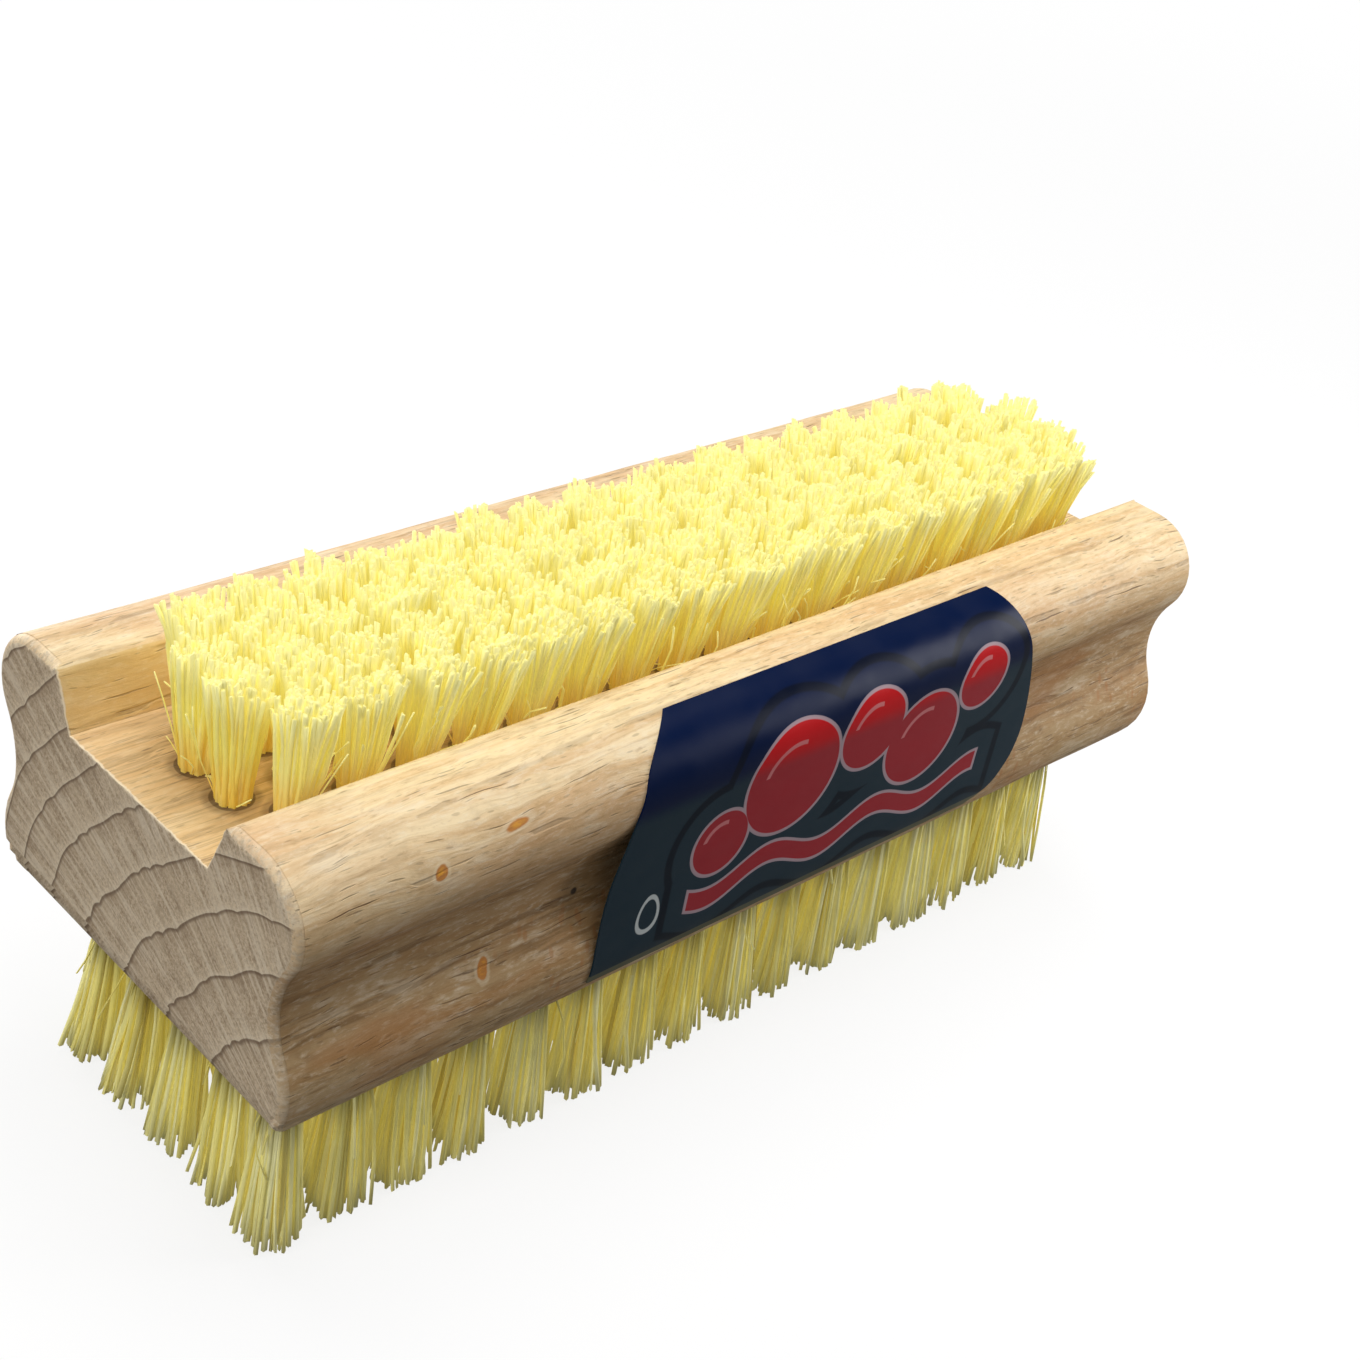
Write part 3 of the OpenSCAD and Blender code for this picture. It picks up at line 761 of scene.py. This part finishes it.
def bristleFinish(name, kind):
    finish = Finish(name)
    tone = finish.attribute("strandTone")
    height = finish.attribute("strandHeight")
    mottle, = finish.clouds(finish.place(), [((0.5, 0.5, 0.25), 2.0)])
    colour = finish.mix(tone.ramped(0.25, 0.85), tint(kind["body"]), tint(kind["pale"]))
    colour = finish.coats(
        colour,
        (tone.ramped(0.36, 0.05) * 0.6, kind["tan"]),
        (mottle.ramped(0.40, 0.65) * kind["green"], kind["greenish"]),
        (height.ramped(kind["shadeTo"], 0.0) * kind["shadeBy"], kind["shade"]),
        (height.ramped(0.55, 1.0) * kind["tips"], kind["tip"]),
    )
    # painted light: the stalks glow, standing in for the light that the thin stalks let through
    finish.look(
        baseColor=colour, roughness=0.5, specularIorLevel=0.3,
        emissionColor=colour, emissionStrength=kind["glow"],
    )
    return finish.material


# Printed film label

label = {
    "thickness": 0.15, "topWrap": 81.0, "bottomWrap": 20.0, "margin": 0.7,
    "across": 60, "down": 44, "railSteps": 14, "straightSteps": 12, "flangeSteps": 5, "map": 50,
    "crease": 40,
    # places of the two side edges, each as distance down the film and place along the block
    "leftEdge": (
        (0.0, -14.5), (3.7, -18.0), (6.0, -18.9), (9.0, -19.7), (13.0, -20.8), (16.0, -21.1),
        (21.6, -21.1),
    ),
    "rightEdge": (
        (0.0, 21.5), (5.0, 23.8), (9.7, 25.5), (14.6, 26.4), (17.4, 26.1), (19.4, 25.0),
        (20.8, 23.5), (21.6, 21.6),
    ),
    # painted sheen: lower down, the film is painted greyer, the navy to grey-blue and the red to
    # dull red, between the two distances down the film given below
    "navy": "#01143A", "haze": "#22343F", "halo": "#010818", "red": "#CC181E",
    "sheenRed": "#A42E36", "shine": "#D98A8C", "keyline": "#B9A3AB", "line": "#C9CFCF",
    "edge": "#6E6D54", "sheenFrom": 6.8, "sheenTo": 8.4, "haloReach": 2.3,
    # bubbles as place along the block, distance down the film and radius
    "bubbles": (
        (-3.2, 9.6, 5.0), (5.4, 8.2, 3.6), (12.0, 11.2, 4.3), (18.6, 7.6, 2.9),
        (-10.0, 13.0, 2.9),
    ),
    "shineReach": 0.62, "shineDown": -0.18, "shineAcross": 0.15,
    "rough": (0.30, 0.42), "specular": 0.12, "relief": 0.25, "depth": 0.0004,
}
wave = {
    "down": 17.2, "rise": 0.9, "half": 1.0, "turn": 0.52, "start": 0.6, "middle": 4.0,
    "reach": 16.5,
}
drop = {
    "across": -16.4, "down": 17.0, "radius": 1.25, "width": 1.6, "taper": 0.32, "widest": 0.2,
    "height": 0.62,
}


def filmPath():
    # middle of the film's thickness as points in the section, from the top down, and the
    # length along it to each
    rail, flange, waist = blockCentres()
    up = rail - flange
    rise = block["flangeRadius"] - block["railRadius"]
    angle = math.atan2(up.z, up.y) - math.acos(rise / up.length)
    top, bottom = math.radians(label["topWrap"]), -math.radians(label["bottomWrap"])

    def onArc(centre, radius, turn):
        return centre + Vector((0, math.cos(turn), math.sin(turn))) * (
            radius + label["thickness"] / 2
        )

    stops = []
    steps = label["railSteps"]
    for step in range(steps + 1):
        turn = top * (1 - step / steps) + angle * step / steps
        stops.append(onArc(rail, block["railRadius"], turn))
    first = stops[-1]
    last = onArc(flange, block["flangeRadius"], angle)
    steps = label["straightSteps"]
    stops += [first.lerp(last, step / steps) for step in range(1, steps + 1)]
    steps = label["flangeSteps"]
    for step in range(1, steps + 1):
        turn = angle + (bottom - angle) * step / steps
        stops.append(onArc(flange, block["flangeRadius"], turn))
    lengths = [0.0]
    for a, b in zip(stops, stops[1:]):
        lengths.append(lengths[-1] + (b - a).length)
    return stops, lengths


def pointAt(stops, lengths, along):
    for i in range(len(stops) - 1):
        if along <= lengths[i + 1] or i == len(stops) - 2:
            share = (along - lengths[i]) / (lengths[i + 1] - lengths[i])
            return stops[i].lerp(stops[i + 1], min(max(share, 0), 1))


def edgeAt(knots, along):
    # smooth curve through the knots
    i = max(k for k in range(len(knots) - 1) if knots[k][0] <= max(along, 0))
    slopes = []
    for k in (i, i + 1):
        before, after = knots[max(k - 1, 0)], knots[min(k + 1, len(knots) - 1)]
        slopes.append((after[1] - before[1]) / (after[0] - before[0]))
    start, end = knots[i], knots[i + 1]
    run = end[0] - start[0]
    part = (along - start[0]) / run
    bow = part * (1 - part) * run
    share = part * part * (3 - 2 * part)
    bulge = bow * ((1 - part) * slopes[0] - part * slopes[1])
    return start[1] + (end[1] - start[1]) * share + bulge


def makeLabel(material):
    stops, lengths = filmPath()
    bm = bmesh.new()
    bmesh.ops.create_grid(bm, x_segments=label["across"], y_segments=label["down"], size=0.5)
    printMap = bm.loops.layers.uv.new("print")
    flat = {}
    for vert in bm.verts:
        along = (0.5 - vert.co.y) * lengths[-1]
        spot = pointAt(stops, lengths, along)
        left, right = (edgeAt(label[side], along) for side in ("leftEdge", "rightEdge"))
        x = left + (right - left) * (vert.co.x + 0.5)
        flat[vert.index] = (x, along)
        vert.co = Vector((x, -spot.y, spot.z + block["underside"]))
    for face in bm.faces:
        for loop in face.loops:
            x, along = flat[loop.vert.index]
            loop[printMap].uv = ((x + label["map"] / 2) / label["map"], along / label["map"])
    bmesh.ops.recalc_face_normals(bm, faces=bm.faces[:])
    if sum(f.normal.y for f in bm.faces) > 0:
        bmesh.ops.reverse_faces(bm, faces=bm.faces[:])
    bmesh.ops.solidify(bm, geom=bm.faces[:], thickness=label["thickness"])
    bmesh.ops.translate(bm, verts=bm.verts[:], vec=(0, -label["thickness"] / 2, 0))
    finishPiece("label", bm, material, ["side_label"], label["crease"])


def labelFinish():
    finish = Finish("printedFilm")
    across, down = finish.split(finish.add("ShaderNodeUVMap", {"uv_map": "print"}))[:2]
    u = across * label["map"] - label["map"] / 2
    v = down * label["map"]

    # the printed shapes as distances from their outlines
    shape, shine = None, None
    for bubbleX, bubbleDown, size in label["bubbles"]:
        du, dv = u - bubbleX, v - bubbleDown
        fromMiddle = distance(du, dv)
        reach = fromMiddle - size
        ring = abs(fromMiddle - size * label["shineReach"]).ramped(0.24, 0.14)
        part = ring * (dv < label["shineDown"] * size) * (du < label["shineAcross"] * size)
        shape = reach if shape is None else shape.least(reach)
        shine = part if shine is None else shine.most(part)
    swell = (u * wave["turn"] + wave["start"]).maths("SINE") * wave["rise"]
    band = abs(v - wave["down"] - swell) - wave["half"]
    shape = shape.least(band.most(abs(u - wave["middle"]) - wave["reach"]))
    du, dv = u - drop["across"], v - drop["down"]
    width = (drop["width"] - dv * drop["taper"]).most(drop["widest"])
    bead = (du * du * width + dv * dv * drop["height"]).maths("SQRT") - drop["radius"]

    # painted sheen: lower down the film the print turns greyer
    sheenShare = v.ramped(label["sheenFrom"], label["sheenTo"])
    navy = finish.mix(sheenShare, tint(label["navy"]), tint(label["haze"]))
    red = finish.mix(sheenShare, tint(label["red"]), tint(label["sheenRed"]))
    halo = abs(shape - label["haloReach"]).ramped(0.5, 0.25)
    colour = finish.coats(navy, (halo * 0.8, label["halo"]))
    colour = finish.mix(shape.ramped(0.03, -0.03), colour, red)
    height = finish.split(finish.place())[2] - block["underside"]
    edge = block["flangeRadius"] * (1 - math.sin(math.radians(label["bottomWrap"])))
    colour = finish.coats(
        colour,
        (shine * 0.75, label["shine"]),
        (abs(shape).ramped(0.19, 0.11) * 0.85, label["keyline"]),
        (abs(bead).ramped(0.22, 0.13), label["line"]),
        ((height < edge + label["margin"]) * 0.8, label["edge"]),
    )
    scuff, swelling = finish.clouds(
        finish.place(), [((0.25, 0.25, 0.25), 3.0), ((0.16, 0.3, 0.3), 1.0)]
    )
    finish.look(
        baseColor=colour, roughness=scuff.ramped(0.35, 0.7, *label["rough"]),
        specularIorLevel=label["specular"],
    )
    finish.relief(swelling, label["relief"], label["depth"])
    return finish.material


# Wire anchors at the bottom of the bores

wire = {"bright": "#B9B4A8", "dull": "#8F8A7E", "grain": (9.0, 0.8, 9.0), "rough": (0.28, 0.42)}


def wireFinish():
    finish = Finish("anchorWire")
    drawn, = finish.clouds(finish.place(), [(wire["grain"], 2.0)])
    colour = finish.mix(drawn, tint(wire["bright"]), tint(wire["dull"]))
    finish.look(baseColor=colour, metallic=1.0, roughness=drawn.ramped(0.3, 0.7, *wire["rough"]))
    return finish.material


# Pieces

makeBlock(woodFinish())
print("wooden block made")

blank = strandBlank()
for tufts, kind, nodeName in (
    (topTufts, "short", "top_bristle_row"), (underTufts, "long", "bottom_bristle_row"),
):
    material = bristleFinish(f"{kind}Bristle", bristle[kind])
    for row in range(len(tufts["rowY"])):
        name, replaced = f"{kind}Bristles{row + 1}", f"{nodeName}_{row + 1}"
        makeRow(tufts, row, name, replaced, blank, material)
    print(kind, "bristles made")
bpy.data.meshes.remove(blank)

makeLabel(labelFinish())
print("label made")

wireMaterial = wireFinish()
for name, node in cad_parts.items():
    if "anchor" in name:
        node.data.materials.clear()
        node.data.materials.append(wireMaterial)
print("anchors finished")


# Floor, light and camera

stage = {
    "floor": 3.0, "floorPale": 0.95, "floorBounce": 0.20, "world": 0.075,
    # the floor's own light near the brush, and the millimetres in which it grows to white
    "glow": 0.84, "glowFrom": 90, "glowTo": 420,
    "lamps": [
        {"name": "overhead", "place": (0.06, 0.0, 0.50), "aim": (0, 0, 0.03), "size": 0.45,
         "power": 2.1, "gloss": 0.7},
        {"name": "behind", "place": (0.0, 0.50, 0.10), "aim": (0, 0, 0.02), "size": 0.40,
         "power": 2.0, "gloss": 0.5},
        {"name": "endSide", "place": (-0.48, -0.03, 0.25), "aim": (0, 0, 0.02), "size": 0.35,
         "power": 1.1, "gloss": 1.0},
        {"name": "farFront", "place": (0.13, -0.09, 0.07), "aim": (0.05, 0, 0.02), "size": 0.08,
         "power": 0.11, "gloss": 0.15},
    ],
}
# place in millimetres, angles in degrees
photoCamera = {
    "lens": 56.32, "sensor": 36.0, "place": (-108.45, -97.53, 116.56),
    "azimuth": -48.81, "elevation": 31.61, "roll": 10.63, "nearest": 5,
}
white = (1.0, 1.0, 1.0, 1.0)


def makeFloor():
    bm = bmesh.new()
    bmesh.ops.create_grid(bm, x_segments=1, y_segments=1, size=stage["floor"])
    mesh = bpy.data.meshes.new("floor")
    bm.to_mesh(mesh)
    bm.free()
    floor = bpy.data.objects.new("floor", mesh)
    bpy.context.scene.collection.objects.link(floor)
    finish = Finish("paleFloor")
    seen = finish.add("ShaderNodeLightPath")
    pale = seen * (stage["floorPale"] - stage["floorBounce"]) + stage["floorBounce"]
    diffuse = finish.add("ShaderNodeBsdfDiffuse", values=[pale])
    glow = finish.add("ShaderNodeEmission", values=[white, 1.0])
    x, y = finish.split(finish.place())[:2]
    far = distance(x, y).ramped(stage["glowFrom"], stage["glowTo"], stage["glow"], 1.0)
    mixed = finish.add("ShaderNodeMixShader", values=[seen * far, diffuse, glow])
    finish.tree.links.new(mixed.socket, finish.tree.nodes["Material Output"].inputs["Surface"])
    mesh.materials.append(finish.material)


def makeWorld():
    world = bpy.data.worlds.new("studio")
    bpy.context.scene.world = world
    world.use_nodes = True
    nodes, links = world.node_tree.nodes, world.node_tree.links
    back = nodes["Background"]
    back.inputs["Color"].default_value = white
    path = nodes.new("ShaderNodeLightPath")
    strength = nodes.new("ShaderNodeMapRange")
    strength.inputs["To Min"].default_value = stage["world"]
    strength.inputs["To Max"].default_value = 1.0
    links.new(path.outputs["Is Camera Ray"], strength.inputs["Value"])
    links.new(strength.outputs["Result"], back.inputs["Strength"])


def makeLamps():
    for spec in stage["lamps"]:
        lamp = bpy.data.lights.new(spec["name"], "AREA")
        lamp.shape = "DISK"
        lamp.size = spec["size"]
        lamp.energy = spec["power"]
        lamp.specular_factor = spec["gloss"]
        holder = bpy.data.objects.new(spec["name"], lamp)
        holder.location = spec["place"]
        back = Vector(spec["place"]) - Vector(spec["aim"])
        holder.rotation_euler = back.to_track_quat("Z", "Y").to_euler()
        bpy.context.scene.collection.objects.link(holder)


def makeCamera():
    azimuth, elevation, roll = (
        math.radians(photoCamera[key]) for key in ("azimuth", "elevation", "roll")
    )
    back = Vector((
        math.sin(azimuth) * math.cos(elevation), -math.cos(azimuth) * math.cos(elevation),
        math.sin(elevation),
    ))
    right = Vector((0, 0, 1)).cross(back).normalized()
    up = back.cross(right)
    across = right * math.cos(roll) + up * math.sin(roll)
    above = up * math.cos(roll) - right * math.sin(roll)
    data = bpy.data.cameras.new("camera")
    data.lens = photoCamera["lens"]
    data.sensor_width = photoCamera["sensor"]
    data.sensor_fit = "HORIZONTAL"
    data.clip_start = photoCamera["nearest"] * mm
    camera = bpy.data.objects.new("camera", data)
    camera.matrix_world = Matrix.Translation(Vector(photoCamera["place"]) * mm) @ Matrix(
        (across, above, back)
    ).transposed().to_4x4()
    bpy.context.scene.collection.objects.link(camera)
    bpy.context.scene.camera = camera


makeFloor()
makeWorld()
makeLamps()
makeCamera()
bpy.context.scene.view_settings.view_transform = "Standard"
print("floor, light and camera set")
